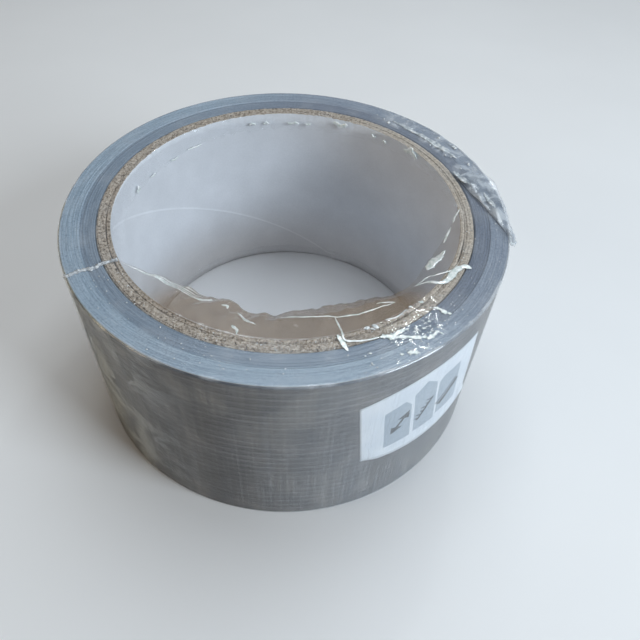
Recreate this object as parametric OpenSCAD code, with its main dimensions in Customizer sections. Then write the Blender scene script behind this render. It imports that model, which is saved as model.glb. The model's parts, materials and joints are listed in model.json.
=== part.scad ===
// Roll of cloth-backed duct tape on a wound board core, sealed in clear shrink film.
// The roll lies flat. Its axis is Z, and Z = 0 is the plane that it rests on.
// Angles are measured about Z from +X towards +Y.

/* [Core] */
// Diameter of the hole through the core
core_bore_d = 76.2; // [40:0.1:90]
// Thickness of the white paper that lines the hole
liner_t = 0.4; // [0.4:0.05:0.8]
// Thickness of each board ply
ply_t = 0.56; // [0.4:0.02:0.8]

/* [Tape] */
// Width of the tape, which is the height of the roll
tape_w = 50; // [24:1:75]
// Radial thickness of all the turns under the last one
winding_t = 7.15; // [3:0.05:30]
// Thickness of each of the three layers of the last turn
layer_t = 0.05; // [0.05:0.01:0.15]
// Angle at which the last turn's free end lies
free_end_at = 118; // [95:1:160]
// Angle that the last turn covers, counted on from the free end
last_turn_sweep = 335; // [200:1:350]

/* [Label] */
// Length of the label round the roll
label_l = 31.5; // [10:0.5:60]
// Height of the label
label_h = 24.4; // [10:0.2:30]
// Thickness of the label
label_t = 0.1; // [0.08:0.02:0.2]
// Angle of the middle of the label
label_at = -54.5; // [-80:0.5:-30]
// How far the label's middle lies above the middle of the roll
label_up = 5.7; // [0:0.1:12]

/* [Film] */
// Thickness of the film
film_t = 0.1; // [0.08:0.02:0.14]
// How far the film turns down into the hole at each end
skirt_l = 4; // [1:0.5:10]
// Angle of the seam on the left
seam_left_at = 207.7; // [190:0.1:240]
// Angle of the seam on the right
seam_right_at = 0; // [-20:1:20]

/* [Seams] */
// How far a seam's fin stands out of the film
fin_h = 0.9; // [0.4:0.1:2]
// Thickness of a seam's fin
fin_t = 0.4; // [0.3:0.1:0.8]
// How far the crumpled ear of the right seam reaches past the film
ear_reach = 2.4; // [1:0.1:4]
// Angle that the ear covers round the rim
ear_sweep = 25; // [10:1:40]

/* [Hidden] */
$fn = 120;

bore_r = core_bore_d / 2;
liner_r = bore_r + liner_t;
ply_count = 5;
core_r = liner_r + ply_count * ply_t;
winding_r = core_r + winding_t;
tape_r = winding_r + 3 * layer_t;
film_in_r = tape_r + label_t;
film_r = film_in_r + film_t;

low = film_t;                    // lower end of the core and the tape
high = low + tape_w;             // upper end of the core and the tape
top = high + film_t;             // upper face of the film

// How far each ply's cut end lies below the liner's, from the inside out
ply_recess = [0.15, 0.3, 0.1, 0.05, 0.2];
// Turns that wandered sideways: [where the band starts, how far its edges lie in]
turn_bands = [[0, 0.12], [0.45, 0.02], [0.5, 0.06], [0.75, 0]];
// The skirt thins towards its edge, which leaves it slightly conical inside
skirt_edge_t = 0.6 * film_t;

board = [0.59, 0.53, 0.46];
board_light = [0.66, 0.6, 0.52];
paper = [0.88, 0.9, 0.93];
edge_grey = [0.56, 0.62, 0.68];
silver_grey = [0.44, 0.44, 0.47];
gum_grey = [0.62, 0.63, 0.64];
yarn = [0.8, 0.8, 0.78];
clear = [0.85, 0.9, 0.95, 0.25];
crumpled = [0.9, 0.92, 0.93, 0.6];

// A tube between two radii and two heights
module tube(r_in, r_out, z_low, z_high) {
    rotate_extrude() translate([r_in, z_low]) square([r_out - r_in, z_high - z_low]);
}

// A curved sheet that starts at an angle and covers a sweep
module curved_sheet(r_in, r_out, z_low, z_high, start, sweep) {
    rotate([0, 0, start]) rotate_extrude(angle = sweep)
        translate([r_in, z_low]) square([r_out - r_in, z_high - z_low]);
}

// Small steady waver of a torn or shrunk edge, between -1 and 1
function waver(t) = 0.6 * sin(830 * t) + 0.4 * sin(2110 * t + 40);

module core_liner() {
    color(paper) tube(bore_r, liner_r, low, high);
}

// Ply 1 is the innermost
module core_ply(number) {
    r_in = liner_r + (number - 1) * ply_t;
    recess = ply_recess[number - 1];
    color(number == 1 ? board_light : board) tube(r_in, r_in + ply_t, low + recess, high - recess);
}

// The turns as one block, whose two ends step where the turns wandered
module tape_winding() {
    last = len(turn_bands) - 1;
    starts = [for (band = turn_bands) core_r + band[0] * winding_t];
    ends = [for (i = [0:last]) i == last ? winding_r : starts[i + 1]];
    upper = [for (i = [0:last]) for (r = [starts[i], ends[i]]) [r, high - turn_bands[i][1]]];
    lower = [for (i = [last:-1:0]) for (r = [ends[i], starts[i]]) [r, low + turn_bands[i][1]]];
    color(edge_grey) rotate_extrude() polygon(concat(upper, lower));
}

// One layer of the last turn, counted from 0 at the gum
module last_turn_layer(number, tint) {
    r_in = winding_r + number * layer_t;
    color(tint) curved_sheet(r_in, r_in + layer_t, low, high, free_end_at, last_turn_sweep);
}

module length_label() {
    sweep = label_l / tape_r * 180 / PI;
    middle = (low + high) / 2 + label_up;
    color(paper) curved_sheet(
        tape_r, film_in_r, middle - label_h / 2, middle + label_h / 2, label_at - sweep / 2, sweep
    );
}

// The film over the wall and both ends, with a short skirt down the hole at each end
module film_panel(start, sweep) {
    inner = bore_r - film_t;
    edge = bore_r - skirt_edge_t;
    section = [
        [inner, 0], [film_r, 0], [film_r, top], [inner, top],
        [edge, top - skirt_l], [bore_r, top - skirt_l], [bore_r, high], [film_in_r, high],
        [film_in_r, low], [bore_r, low], [bore_r, skirt_l], [edge, skirt_l]
    ];
    color(clear) rotate([0, 0, start]) rotate_extrude(angle = sweep) polygon(section);
}

module film_front_panel() {
    film_panel(seam_left_at, 360 + seam_right_at - seam_left_at);
}

module film_back_panel() {
    film_panel(seam_right_at, seam_left_at - seam_right_at);
}

// A ragged fin that crosses the upper end and runs down the wall, short of the base
module film_seam_left() {
    steps = 24;
    foot = 3;
    across = [for (i = [0:steps]) let (t = i / steps)
        [bore_r + t * (film_r - bore_r), top + fin_h * (0.75 + 0.25 * waver(t))]];
    corner = [[film_r + 0.7 * fin_h, top + 0.7 * fin_h]];
    down = [for (i = [0:steps]) let (t = i / steps)
        [film_r + fin_h * (0.6 + 0.25 * waver(t + 2)) * (1 - 0.6 * t), top - t * (top - foot)]];
    seat = [[film_r, foot], [film_r, top], [bore_r, top]];
    color(crumpled) rotate([90, 0, seam_left_at]) linear_extrude(fin_t, center = true)
        polygon(concat(across, corner, down, seat));
}

// A crumpled ear round the rim, and the fold that leads to it across the upper end
module film_seam_right() {
    steps = 30;
    ear_low = 1.2;
    ear_up = 0.5;
    fold_from = [(core_r - 0.6) * cos(14.5), (core_r - 0.6) * sin(14.5)];
    fold_to = [(film_r + 0.4) * cos(-12), (film_r + 0.4) * sin(-12)];
    fold = fold_to - fold_from;
    half_side = fin_t / 2 * [-fold.y, fold.x] / norm(fold);
    outline = [for (i = [0:steps]) let (
        t = i / steps,
        at = seam_right_at - 15 + ear_sweep * t,
        reach = 0.3 + (ear_reach - 0.3) * sin(180 * t) * (0.75 + 0.25 * waver(t + 1))
    ) (film_r + reach) * [cos(at), sin(at)]];
    color(crumpled) union() {
        difference() {
            translate([0, 0, top - ear_low]) linear_extrude(ear_low + ear_up)
                polygon(concat([[0, 0]], outline));
            translate([0, 0, top - 2 * ear_low]) cylinder(r = film_r, h = 4 * ear_low);
        }
        translate([0, 0, top]) linear_extrude(fin_h) polygon([
            fold_from + half_side, fold_to + half_side, fold_to - half_side, fold_from - half_side
        ]);
    }
}

core_liner();
core_ply(1);  // core_ply_1
core_ply(2);  // core_ply_2
core_ply(3);  // core_ply_3
core_ply(4);  // core_ply_4
core_ply(5);  // core_ply_5
tape_winding();
last_turn_layer(0, gum_grey);  // last_turn_adhesive
last_turn_layer(1, yarn);  // last_turn_scrim
last_turn_layer(2, silver_grey);  // last_turn_backing
length_label();
film_front_panel();
film_back_panel();
film_seam_left();
film_seam_right();
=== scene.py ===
# The looks of the shrink-wrapped tape roll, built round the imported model.
# Lengths are millimetres and angles are degrees about Z, from +X towards +Y, until a mesh is made.
import functools
import json
import math

import bmesh
import bpy
import numpy as np
from mathutils import Matrix, Vector


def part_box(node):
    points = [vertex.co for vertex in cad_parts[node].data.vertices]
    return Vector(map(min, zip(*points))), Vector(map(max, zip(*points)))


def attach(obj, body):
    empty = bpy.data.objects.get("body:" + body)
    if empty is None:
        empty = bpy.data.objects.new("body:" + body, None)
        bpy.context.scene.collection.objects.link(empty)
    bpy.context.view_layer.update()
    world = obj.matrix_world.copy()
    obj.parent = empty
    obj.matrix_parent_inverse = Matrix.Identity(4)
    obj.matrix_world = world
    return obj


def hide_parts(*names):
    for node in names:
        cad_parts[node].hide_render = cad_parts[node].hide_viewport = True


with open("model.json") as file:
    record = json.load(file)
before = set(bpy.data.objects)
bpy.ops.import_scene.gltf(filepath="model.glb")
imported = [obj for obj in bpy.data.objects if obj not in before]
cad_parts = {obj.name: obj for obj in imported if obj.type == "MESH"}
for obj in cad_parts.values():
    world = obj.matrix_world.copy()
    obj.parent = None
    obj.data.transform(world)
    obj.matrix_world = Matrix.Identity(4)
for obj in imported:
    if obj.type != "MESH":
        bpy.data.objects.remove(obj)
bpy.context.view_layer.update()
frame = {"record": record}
MM = 0.001


# ------------------------------------------------------------ sizes from the frame
def reach(node):
    """How far a node's box reaches from the axis."""
    low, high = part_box(node)
    return max(abs(low.x), abs(high.x), abs(low.y), abs(high.y)) / MM


BORE_R = frame["record"]["mounts"][0]["dims"]["r_mm"]
LINER_R = reach("core_liner")
PLY_NODES = [f"core_ply_{number}" for number in range(1, 6)]
PLY_R = [LINER_R] + [reach(node) for node in PLY_NODES]
CORE_R = PLY_R[-1]
WINDING_R = reach("tape_winding")
TAPE_R = reach("last_turn_backing")
FILM_R = reach("film_back_panel")
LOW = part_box("core_liner")[0].z / MM
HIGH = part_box("core_liner")[1].z / MM
FILM_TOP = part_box("film_front_panel")[1].z / MM
TAPE_W = HIGH - LOW
STRIP_T = TAPE_R - WINDING_R
RIB_PITCH = 1.9
# The innermost turns, up to this far from the core, lie a little lower and look darker
INNER_BAND = 3.2

# Where things lie round the roll
FREE_END_AT = 118
LAST_TURN_SWEEP = 335
SEAM_LEFT_AT = -152.3
SEAM_RIGHT_AT = 0


# ------------------------------------------------------------ numbers
def smooth_step(low, high, value):
    t = np.clip((np.asarray(value, float) - low) / (high - low), 0, 1)
    return t * t * (3 - 2 * t)


def waves(seed, count, around, along):
    """A smooth random field, about -1 to 1, of an angle and a distance.

    around is the most waves per turn, and along the shortest wavelength.
    """
    draw = np.random.default_rng(seed)
    turns = draw.integers(-around, around + 1, count)
    rates = draw.uniform(-1, 1, count) * 2 * math.pi / along
    phases = draw.uniform(0, 2 * math.pi, count)
    sizes = draw.uniform(0.5, 1, count)
    sizes /= math.sqrt((sizes**2).sum() / 2) * 1.6

    def value(angle, distance):
        angle, distance = np.broadcast_arrays(np.radians(angle), np.asarray(distance, float))
        total = np.zeros(angle.shape)
        for size, turn, rate, phase in zip(sizes, turns, rates, phases):
            total += size * np.cos(turn * angle + rate * distance + phase)
        return total

    return value


def polar(radius, angle, height):
    """Points from radius, angle and height."""
    radius, angle, height = np.broadcast_arrays(radius, np.radians(angle), height)
    return np.stack([radius * np.cos(angle), radius * np.sin(angle), height], -1)


def outline_grid(outline, angles):
    """The points of an outline of (radius, height) pairs, at each angle."""
    return np.stack([polar(radius, angles, height) for radius, height in outline], 1)


def full_turn(count):
    """Angles of one turn, without the last, which is the first again."""
    return np.arange(count) * 360 / count


def spline(points, steps):
    """A smooth path through points (a Catmull-Rom curve)."""
    points = np.asarray(points, float)
    ends = np.vstack([2 * points[0] - points[1], points, 2 * points[-1] - points[-2]])
    t = np.linspace(0, 1, steps, endpoint=False)[:, None]
    path = []
    for a, b, c, d in zip(ends, ends[1:], ends[2:], ends[3:]):
        bend = (2 * a - 5 * b + 4 * c - d) * t**2 + (3 * b - a - 3 * c + d) * t**3
        path.append(0.5 * (2 * b + (c - a) * t + bend))
    path.append(points[-1:])
    return np.concatenate(path)


def window(value, low, high, soft):
    """1 between low and high, and 0 further than soft outside them."""
    return smooth_step(low - soft, low, value) * (1 - smooth_step(high, high + soft, value))


# ------------------------------------------------------------ meshes
def make_piece(name, points, faces, replaced=(), materials=(), face_slots=None, smooth=True):
    """A mesh piece from points and a list of faces, which rides on the root body."""
    mesh = bpy.data.meshes.new(name)
    mesh.from_pydata((np.asarray(points) * MM).tolist(), [], faces)
    mesh.polygons.foreach_set("use_smooth", np.full(len(faces), smooth))
    if face_slots is not None:
        mesh.polygons.foreach_set("material_index", np.asarray(face_slots, np.int32))
    solid = bmesh.new()
    solid.from_mesh(mesh)
    bmesh.ops.recalc_face_normals(solid, faces=solid.faces)
    solid.to_mesh(mesh)
    solid.free()
    mesh.update()
    for material in materials:
        mesh.materials.append(material)
    piece = bpy.data.objects.new(name, mesh)
    bpy.context.scene.collection.objects.link(piece)
    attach(piece, "root")
    if replaced:
        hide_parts(*replaced)
    return piece


def grid_faces(rows, columns, close_rows=False, close_columns=False):
    """The quads of a grid of points stored row by row."""
    i, j = np.meshgrid(
        np.arange(rows if close_rows else rows - 1),
        np.arange(columns if close_columns else columns - 1),
        indexing="ij",
    )
    i2 = (i + 1) % rows
    j2 = (j + 1) % columns
    quads = [i * columns + j, i2 * columns + j, i2 * columns + j2, i * columns + j2]
    return np.stack(quads, -1).reshape(-1, 4).tolist()


def fan_faces(first, count, tip):
    """Triangles from a ring of points to one point."""
    return [[first + k, first + (k + 1) % count, tip] for k in range(count)]


def sweep_piece(name, grid, closed, materials, replaced=(), column_slots=None):
    """A closed solid from outlines that follow each other round the roll.

    grid[angle, point] is an outline's point. Each outline is closed, and so is the ring if closed is true;
    otherwise its two ends get a face. column_slots are the material slots along an outline or over the grid.
    """
    rows, columns = grid.shape[:2]
    faces = grid_faces(rows, columns, close_rows=closed, close_columns=True)
    slots = None
    if column_slots is not None:
        shape = (rows if closed else rows - 1, columns)
        slots = np.broadcast_to(column_slots, shape).reshape(-1).tolist()
    if not closed:
        faces.append(list(range(columns - 1, -1, -1)))
        faces.append(list(range((rows - 1) * columns, rows * columns)))
        if slots is not None:
            slots += [0, 0]
    return make_piece(name, grid.reshape(-1, 3), faces, replaced, materials, slots)


# ------------------------------------------------------------ materials
def srgb(*levels):
    """A linear colour from display levels of 0 to 255."""
    values = [level / 255 for level in levels]
    return [v / 12.92 if v <= 0.04045 else ((v + 0.055) / 1.055) ** 2.4 for v in values] + [1]


WHITE = srgb(255, 255, 255)


class Finish:
    """A material with one Principled shader, and short ways to add nodes before it."""

    def __init__(self, name, roughness=0.5, **values):
        self.material = bpy.data.materials.new(name)
        self.material.use_nodes = True
        self.tree = self.material.node_tree
        self.shader = self.tree.nodes["Principled BSDF"]
        self.shader.inputs["Roughness"].default_value = roughness
        for socket, value in values.items():
            self.shader.inputs[socket].default_value = value
        self.place = self.node("ShaderNodeTexCoord").outputs["Object"]

    def node(self, kind, **settings):
        made = self.tree.nodes.new(kind)
        for key, value in settings.items():
            setattr(made, key, value)
        return made

    def put(self, value, socket):
        """Links an output, or sets a plain value."""
        if isinstance(value, bpy.types.NodeSocket):
            self.tree.links.new(value, socket)
        else:
            socket.default_value = value

    def set(self, socket, value):
        self.put(value, self.shader.inputs[socket])

    def math(self, operation, *values, clamp=False):
        made = self.node("ShaderNodeMath", operation=operation, use_clamp=clamp)
        for value, socket in zip(values, made.inputs):
            self.put(value, socket)
        return made.outputs[0]

    def times(self, *values):
        """The product of two or more values."""
        return functools.reduce(lambda product, value: self.math("MULTIPLY", product, value), values)

    def plus(self, *values):
        """The sum of two or more values."""
        return functools.reduce(lambda total, value: self.math("ADD", total, value), values)

    def cylinder(self):
        """Sockets for the radius in mm, the angle in degrees and the height in mm."""
        parts = self.node("ShaderNodeSeparateXYZ")
        self.put(self.place, parts.inputs[0])
        x, y, z = parts.outputs
        radius = self.math("SQRT", self.plus(self.times(x, x), self.times(y, y)))
        angle = self.math("ARCTAN2", y, x)
        return self.times(radius, 1 / MM), self.math("DEGREES", angle), self.times(z, 1 / MM)

    def noise(self, size, detail=3, rough=0.55, vector=None, distort=0.0):
        """Noise whose blobs are about size mm across."""
        made = self.node("ShaderNodeTexNoise")
        self.put(vector or self.place, made.inputs["Vector"])
        made.inputs["Scale"].default_value = 1 / (size * MM)
        made.inputs["Detail"].default_value = detail
        made.inputs["Roughness"].default_value = rough
        made.inputs["Distortion"].default_value = distort
        return made.outputs["Fac"]

    def streaks(self, across, around, up, detail=2, rough=0.5, distort=0.0):
        """Drawn-out noise: how fast it changes with the radius, round the axis and up it."""
        radius, angle, height = self.cylinder()
        angle = self.math("RADIANS", angle)
        east = self.times(self.math("COSINE", angle), around)
        drawn = self.node("ShaderNodeCombineXYZ")
        self.put(self.plus(self.times(radius, across), east), drawn.inputs[0])
        self.put(self.times(self.math("SINE", angle), around), drawn.inputs[1])
        self.put(self.times(height, up), drawn.inputs[2])
        return self.noise(1.0, detail, rough, drawn.outputs[0], distort)

    def ramp(self, value, *stops):
        """A colour from a value, through (place, colour) stops."""
        made = self.node("ShaderNodeValToRGB")
        self.put(value, made.inputs[0])
        band = made.color_ramp
        while len(band.elements) < len(stops):
            band.elements.new(0.5)
        for element, (place, colour) in zip(band.elements, stops):
            element.position = place
            element.color = colour
        return made.outputs["Color"]

    def fade(self, value, low, high, start=0.0, end=1.0):
        """start to end as value goes from low to high."""
        made = self.node("ShaderNodeMapRange", interpolation_type="SMOOTHSTEP")
        for item, socket in zip((value, low, high, start, end), made.inputs):
            self.put(item, socket)
        return made.outputs[0]

    def mix(self, share, first, second, blend="MIX"):
        made = self.node("ShaderNodeMix", data_type="RGBA", blend_type=blend)
        self.put(share, made.inputs[0])
        self.put(first, made.inputs[6])
        self.put(second, made.inputs[7])
        return made.outputs[2]

    def tint(self, *colours):
        """Colours multiplied together."""
        return functools.reduce(lambda first, second: self.mix(1.0, first, second, "MULTIPLY"), colours)

    def bump(self, height, depth):
        """A bump from a height of 0 to 1 that stands for depth mm."""
        made = self.node("ShaderNodeBump")
        made.inputs["Distance"].default_value = depth * MM
        self.put(height, made.inputs["Height"])
        self.put(made.outputs[0], self.shader.inputs["Normal"])


def plain_finish(name, roughness, size, dark, light, depth, detail=3):
    """A material that wanders between two tones, with a bump of the same pattern."""
    finish = Finish(name, roughness)
    tone = finish.noise(size, detail)
    finish.set("Base Color", finish.ramp(tone, (0.3, dark), (0.7, light)))
    finish.bump(tone, depth)
    return finish.material


def tape_edge_finish():
    """The cut edges of the turns: fine circular lines, bluish grey, darker near the core."""
    finish = Finish("tape_edge", 0.4)
    radius, turn, _ = finish.cylinder()
    fine = finish.streaks(0.0042, 0.006, 0.0, detail=4, rough=0.75)
    broad = finish.streaks(0.0022, 0.0016, 0.0, detail=3, rough=0.55)
    scratch = finish.streaks(0.005, 0.009, 0.0, rough=0.7)
    fibre = finish.noise(0.5, rough=0.75)
    greys = (0.32, srgb(128, 147, 164)), (0.5, srgb(153, 172, 189)), (0.68, srgb(178, 195, 210))
    shade = finish.ramp(broad, (0.3, srgb(240, 240, 241)), (0.7, WHITE))
    speck = finish.ramp(fibre, (0.32, srgb(212, 214, 218)), (0.52, WHITE))
    lines = finish.tint(finish.ramp(fine, *greys), shade, speck)
    scratched = finish.mix(finish.fade(scratch, 0.6, 0.72, 0.0, 0.5), lines, srgb(206, 218, 228))
    # painted shade: the edges are made darker on the right
    painted_shade_right = finish.times(finish.fade(turn, -78, -35), finish.fade(turn, 70, 125, 1.0, 0.0))
    toned = finish.mix(painted_shade_right, scratched, finish.tint(scratched, srgb(230, 222, 224)))
    from_core = finish.fade(radius, CORE_R + INNER_BAND - 0.6, CORE_R + INNER_BAND + 0.5)
    inner = finish.ramp(from_core, (0.0, srgb(212, 212, 216)), (1.0, WHITE))
    finish.set("Base Color", finish.tint(toned, inner))
    finish.bump(fine, 0.03)
    return finish.material


def backing_finish():
    """The tape's silver-grey face, with fine ribs from the yarns under it."""
    finish = Finish("tape_backing", 0.34)
    _, turn, height = finish.cylinder()
    cloud = finish.noise(14, detail=5, rough=0.62, distort=0.9)
    grain = finish.noise(0.5, detail=2)
    weft = finish.streaks(0.0, 0.07, 0.00005, detail=3, rough=0.6)
    band = finish.streaks(0.0, 0.009, 0.00002)
    patchy = finish.streaks(0.0, 0.0024, 0.00015)
    warp = finish.math("SINE", finish.times(height, 2 * math.pi / RIB_PITCH))
    greys = (0.38, srgb(70, 65, 58)), (0.5, srgb(87, 83, 78)), (0.6, srgb(113, 109, 100))
    streak = finish.ramp(weft, (0.35, srgb(204, 204, 211)), (0.65, WHITE))
    shade = finish.ramp(band, (0.36, srgb(208, 208, 215)), (0.64, WHITE))
    shaded = finish.tint(finish.ramp(cloud, *greys), streak, shade)
    # the ribs stand out less on the left
    in_front = finish.fade(turn, -124, -98, 0.15, 1.0)
    worn = finish.times(finish.fade(warp, 0.5, 1.0), finish.fade(patchy, 0.4, 0.6, 0.13, 0.22), in_front)
    ribbed = finish.mix(worn, shaded, srgb(176, 174, 178))
    # painted shade: the roll's top edge is darkened, for the shade where the last turn is rounded off
    edge = finish.fade(height, HIGH - 1.1, HIGH - 0.3)
    finish.set("Base Color", finish.mix(edge, ribbed, srgb(36, 40, 52)))
    finish.bump(finish.plus(finish.times(warp, 0.3), weft, grain), 0.02)
    return finish.material


def board_finish(name, light, dark):
    """Grey-brown recycled board: fibres, pores and whitish flecks. It is painted a little paler on the
    right, for the light and the film's glare there.
    """
    finish = Finish(name, 0.9)
    _, turn, _ = finish.cylinder()
    flattened = finish.node("ShaderNodeMapping")
    finish.put(finish.place, flattened.inputs["Vector"])
    flattened.inputs["Scale"].default_value = (1.0, 1.0, 0.6)
    fibre = finish.noise(1.0, detail=6, rough=0.74)
    pore = finish.noise(0.5, rough=0.65)
    fleck = finish.noise(0.5, detail=2, rough=0.6, vector=flattened.outputs[0])
    colour = finish.ramp(fibre, (0.36, dark), (0.6, light))
    pores = finish.ramp(pore, (0.34, srgb(80, 68, 56)), (0.43, srgb(228, 222, 216)), (0.6, WHITE))
    flecks = finish.fade(fleck, 0.6, 0.7, 0.0, 0.6)
    flecked = finish.mix(flecks, finish.tint(colour, pores), srgb(224, 218, 208))
    # painted light: paler on the right, for the light and the film's glare there
    painted_light_right = finish.times(finish.fade(turn, -84, -24, 0.0, 0.34), finish.fade(turn, 40, 80, 1.0, 0.0))
    finish.set("Base Color", finish.mix(painted_light_right, flecked, srgb(222, 212, 198)))
    finish.bump(finish.plus(fibre, pore), 0.2)
    return finish.material


def liner_finish(name, gain=0):
    """White paper on the hole's wall, with painted warm bounce light low down. gain makes a paler kind."""
    finish = Finish(name, 0.62)
    _, _, height = finish.cylinder()
    tone = finish.noise(9)
    fibre = finish.noise(0.35, rough=0.7)
    dark, light = [srgb(*[level + more for level in (220, 223, 229)]) for more in (gain, gain + 9)]
    white = finish.ramp(tone, (0.3, dark), (0.7, light))
    grain = finish.ramp(fibre, (0.3, srgb(246, 246, 246)), (0.7, WHITE))
    # painted light: a warmer tone low down, for the light bounced up from the table
    painted_bounce_low = finish.mix(finish.fade(height, LOW + 2, LOW + 24, 1.0, 0.0), WHITE, srgb(243, 237, 231))
    finish.set("Base Color", finish.tint(white, grain, painted_bounce_low))
    finish.bump(fibre, 0.015)
    return finish.material


def label_finish():
    """Smooth white paper with a fine tooth."""
    finish = Finish("label_paper", 0.4)
    tone = finish.noise(6, detail=2)
    finish.set("Base Color", finish.ramp(tone, (0.3, srgb(231, 238, 245)), (0.7, srgb(240, 245, 250))))
    finish.bump(finish.noise(0.4), 0.01)
    return finish.material


def ink_finish(name, light, dark, grain):
    """Printed ink, with specks of about grain mm."""
    finish = Finish(name, 0.45)
    speck = finish.noise(grain, detail=2, rough=0.7)
    finish.set("Base Color", finish.ramp(speck, (0.35, dark), (0.62, light)))
    return finish.material


def film_finish():
    """Clear shrink film: glossy and see-through, milky in patches where it doesn't touch the tape."""
    finish = Finish("shrink_film", 0.05, IOR=2.3)
    radius, turn, height = finish.cylinder()
    haze = finish.noise(6)
    clot = finish.noise(2.6, detail=2, rough=0.5, distort=0.5)
    cloud = finish.noise(9, detail=4, rough=0.6, distort=0.6)
    streak = finish.streaks(0.0, 0.12, 0.00003, detail=4, rough=0.6, distort=0.4)
    on_wall = finish.fade(radius, FILM_R - 0.6, FILM_R - 0.3)
    off_wall = finish.math("SUBTRACT", 1.0, on_wall)
    # streaks run down the wall, stronger lower down; they are made stronger on the right as well, a painted
    # reflection of the cool light there
    low = finish.fade(height, LOW, HIGH, 1.0, 0.45)
    side = finish.fade(turn, -120, -50, 0.55, 1.5)
    down_wall = finish.times(finish.fade(streak, 0.42, 0.72, 0.03, 0.1), low, side)
    # painted reflection: on the left of the wall the film gets yellowish clouds for the warm table it
    # mirrors, and on the right an even bluish haze for the cool light
    left = finish.fade(turn, -142, -108, 1.0, 0.0)
    painted_warm_reflection = finish.times(left, finish.fade(cloud, 0.4, 0.62, 0.04, 0.34))
    painted_cool_reflection = finish.fade(turn, -112, -76, 0.0, 0.1)
    wall_haze_and_reflection = finish.times(finish.plus(down_wall, painted_warm_reflection, painted_cool_reflection), on_wall)
    face_haze = finish.times(finish.fade(haze, 0.4, 0.75, 0.03, 0.09), off_wall)
    # gathered behind the right-hand seam, the film is whitish in clots
    behind = finish.times(finish.fade(turn, 4, 18), finish.fade(turn, 46, 64, 1.0, 0.0))
    gathered = finish.times(behind, finish.fade(radius, 41.4, 43.6))
    clots = finish.times(gathered, finish.fade(clot, 0.44, 0.68, 0.05, 0.42))
    # painted highlight: where the film turns down over the rim it is made whiter and less clear, for the
    # light it catches
    near_rim = finish.fade(radius, FILM_R - 0.8, FILM_R - 0.45)
    rim = finish.times(near_rim, finish.fade(height, HIGH - 0.45, HIGH))
    painted_rim_highlight = finish.times(rim, finish.fade(haze, 0.35, 0.65, 0.05, 0.3))
    clear = finish.ramp(haze, (0.3, srgb(214, 224, 236)), (0.7, srgb(246, 250, 255)))
    # painted reflection: the yellowish tint on the left of the wall
    finish.set("Base Color", finish.mix(finish.times(left, on_wall), clear, srgb(206, 204, 186)))
    milky = finish.plus(face_haze, wall_haze_and_reflection, clots)
    finish.set("Alpha", finish.math("ADD", milky, painted_rim_highlight, clamp=True))
    finish.bump(finish.noise(2.2, detail=2, rough=0.5, distort=0.6), 0.022)
    return finish.material


def lip_finish():
    """The film over the mouth, painted smoky brown in front for the shaded table seen down the bore."""
    finish = Finish("film_lip", 0.1, IOR=2.2)
    _, turn, _ = finish.cylinder()
    cloud = finish.noise(4, detail=4, rough=0.6, distort=0.8)
    finish.set("Base Color", finish.ramp(cloud, (0.3, srgb(142, 119, 96)), (0.7, srgb(174, 153, 130))))
    # painted shade: smoky and less clear in front
    in_front = finish.times(finish.fade(turn, -136, -124), finish.fade(turn, -56, -40, 1.0, 0.0))
    finish.set("Alpha", finish.plus(finish.times(in_front, 0.42), 0.1))
    finish.bump(finish.noise(1.8, rough=0.5, distort=0.5), 0.08)
    return finish.material


def folded_finish(name, size, thin, thick, dark, light, depth):
    """Film that lies in several layers, whitish where more of them overlap."""
    finish = Finish(name, 0.12, IOR=2.2)
    crumple = finish.noise(size, distort=0.4)
    finish.set("Base Color", finish.ramp(crumple, (0.32, dark), (0.66, light)))
    finish.set("Alpha", finish.fade(crumple, 0.34, 0.66, thin, thick))
    finish.bump(crumple, depth)
    return finish.material


def ridge_finish():
    """The sealed ridge on the left: whitish on the roll's end, and nearly clear on its wall."""
    finish = Finish("film_ridge", 0.3, IOR=1.6)
    _, _, height = finish.cylinder()
    crumple = finish.noise(0.9, rough=0.6)
    finish.set("Base Color", finish.ramp(crumple, (0.3, srgb(214, 221, 228)), (0.7, srgb(250, 252, 254))))
    thick = finish.fade(crumple, 0.3, 0.68, 0.3, 0.85)
    finish.set("Alpha", finish.times(thick, finish.fade(height, HIGH - 2.5, HIGH - 0.2, 0.16, 1.0)))
    finish.bump(crumple, 0.04)
    return finish.material


# ------------------------------------------------------------ core
# The butt joint of the lining across its line: mm to either side, and how deep it is there
JOINT_PROFILE = [(-0.5, 0), (-0.3, 0), (-0.16, -0.03), (0, 0.09), (0.14, -0.05), (0.3, 0), (0.5, 0)]


def build_liner(white, joint_white, board):
    """The lining ply. A butt joint runs down its white face as a helix."""
    joint_drop = 0.385
    joint_from = 66.7
    angles = full_turn(720)
    run = (angles - joint_from) % 360
    joint = LOW + 0.5 + joint_drop * run
    on_wall = smooth_step(LOW, LOW + 1, joint) * (1 - smooth_step(HIGH - 3, HIGH - 2, joint))
    joint = np.clip(joint, LOW + 2, HIGH - 2)
    # past the upper end, the rows that carried the joint return to its lower end
    back = smooth_step(340, 360, run)
    joint = joint * (1 - back) + (LOW + 2) * back
    fray = waves(11, 24, 140, 2.0)(angles, 0)
    upper = HIGH - 0.05 - 0.12 * np.abs(fray)
    lower = LOW + 0.05 + 0.1 * np.abs(np.roll(fray, 90))
    rows = 12
    half = JOINT_PROFILE[-1][0]
    wall = [(BORE_R, lower + k / rows * (joint - half - lower)) for k in range(rows)]
    wall += [(BORE_R + depth * on_wall, joint + step) for step, depth in JOINT_PROFILE]
    wall += [(BORE_R, joint + half + k / rows * (upper - joint - half)) for k in range(1, rows + 1)]
    wall += [(LINER_R - 0.04, upper + 0.04), (LINER_R - 0.04, lower - 0.02)]
    grid = outline_grid(wall, angles)
    slots = np.zeros((len(angles), len(wall)), int)
    slots[:, len(wall) - 3 :] = 1
    slots[on_wall > 0.5, rows + 1 : rows + 5] = 2
    materials = [white, board, joint_white]
    return sweep_piece("core_liner_paper", grid, True, materials, ["core_liner"], slots)


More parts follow.
